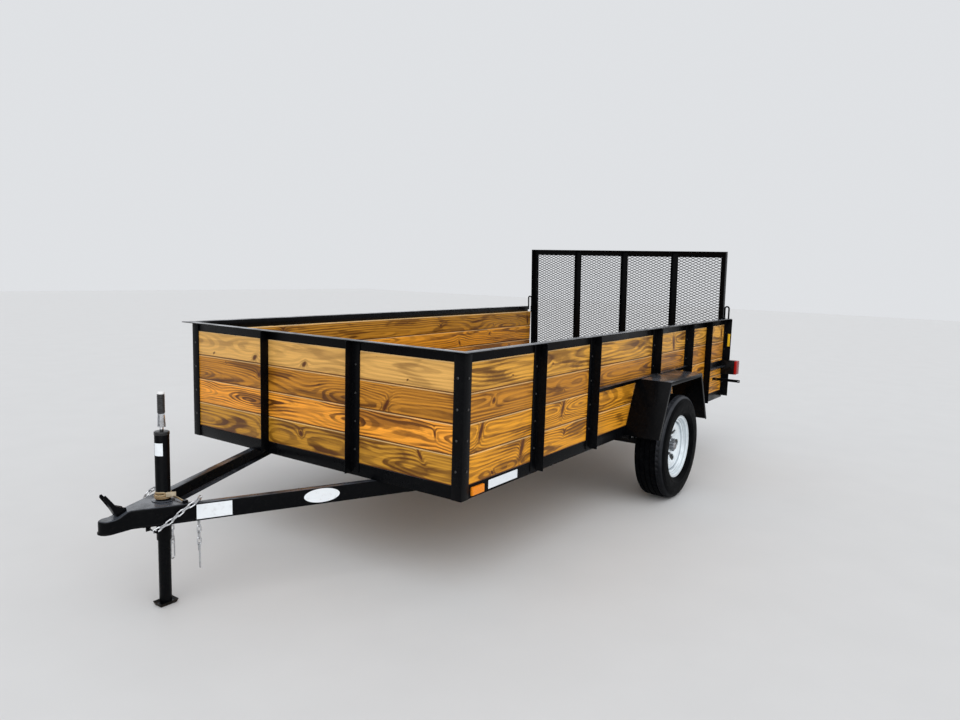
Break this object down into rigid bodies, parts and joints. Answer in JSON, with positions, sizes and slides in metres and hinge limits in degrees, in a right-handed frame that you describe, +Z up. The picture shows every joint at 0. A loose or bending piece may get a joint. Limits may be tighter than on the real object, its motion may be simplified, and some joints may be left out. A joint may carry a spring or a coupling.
{
  "type": "utility trailer",
  "caption": "Single-axle utility trailer with boarded wooden sides, steel posts and rail, folded fenders, mesh ramp gate, A-frame tongue, ball coupler and jack.",
  "frame": {"origin": "on the ground, under the middle of the whole trailer's length and width", "axes": "+X towards the coupler, +Y to the trailer's left side, +Z up"},
  "size_m": [4.8762, 2.426, 1.6799],
  "materials": {
    "black_steel": "satin black powder coat",
    "black_axle": "semi-gloss black paint",
    "pine_side": "pressure treated pine, knotty, clear stain",
    "pine_deck": "pressure treated pine deck boards",
    "silver_rim": "silver paint",
    "tyre": "ribbed trailer tyre",
    "zinc": "bright zinc plate",
    "grip": "black grip",
    "lamp_housing": "black moulded housing",
    "red_lens": "red lens",
    "amber_lens": "amber lens",
    "lead": "flat four-wire lead",
    "plug": "moulded flat connector"
  },
  "bodies": {
    "chassis": {"axle_beam": "black_axle", "axle_clamps": "zinc", "chain_bolts": "black_steel", "chain_hooks": "zinc", "corner_posts": "black_steel", "coupler": "black_steel", "coupler_latch": "black_steel", "crossmembers": "black_steel", "deck_boards": "pine_deck", "fender_rails": "black_steel", "fenders": "black_steel", "front_boards": "pine_side", "front_posts": "black_steel", "hinge_ears": "black_steel", "jack_cap": "zinc", "jack_clevis": "zinc", "jack_grip": "grip", "jack_tube": "black_steel", "lamp_bars": "black_steel", "lamp_boxes": "lamp_housing", "lamp_lenses": "red_lens", "lead_clip": "black_steel", "lead_coil": "lead", "lead_plug": "plug", "lead_tube": "lead", "leaf_springs": "black_axle", "main_frame": "black_steel", "marker_lamps": "amber_lens", "plate_bracket": "black_steel", "reflectors": "amber_lens", "safety_chains": "zinc", "side_boards": "pine_side", "side_posts": "black_steel", "spring_hangers": "black_steel", "spring_shackles": "zinc", "tongue_members": "black_steel", "top_rail": "black_steel"},
    "wheel_left": {"tyre_left": "tyre", "rim_left": "silver_rim", "hub_left": "zinc"},
    "wheel_right": {"tyre_right": "tyre", "rim_right": "silver_rim", "hub_right": "zinc"},
    "gate": {"gate_frame": "black_steel", "gate_uprights": "black_steel", "gate_mesh": "black_steel", "hinge_barrels": "black_steel", "gate_latches": "black_steel"},
    "jack_leg": {"jack_leg": "black_steel", "jack_foot": "black_steel"}
  },
  "joints": [
    {"name": "wheel_left_turn", "type": "hinge", "parent": "chassis", "child": "wheel_left", "pos_m": [-0.80193, 1.1005, 0.344], "axis": [0, 1, 0], "continuous": true},
    {"name": "wheel_right_turn", "type": "hinge", "parent": "chassis", "child": "wheel_right", "pos_m": [-0.80193, -1.1005, 0.344], "axis": [0, 1, 0], "continuous": true},
    {"name": "gate_fold", "type": "hinge", "parent": "chassis", "child": "gate", "pos_m": [-2.41333, 0, 0.5015], "axis": [0, -1, 0], "range_deg": [0, 111]},
    {"name": "jack_slide", "type": "slide", "parent": "chassis", "child": "jack_leg", "axis": [0, 0, 1], "range_m": [0, 0.25]}
  ]
}
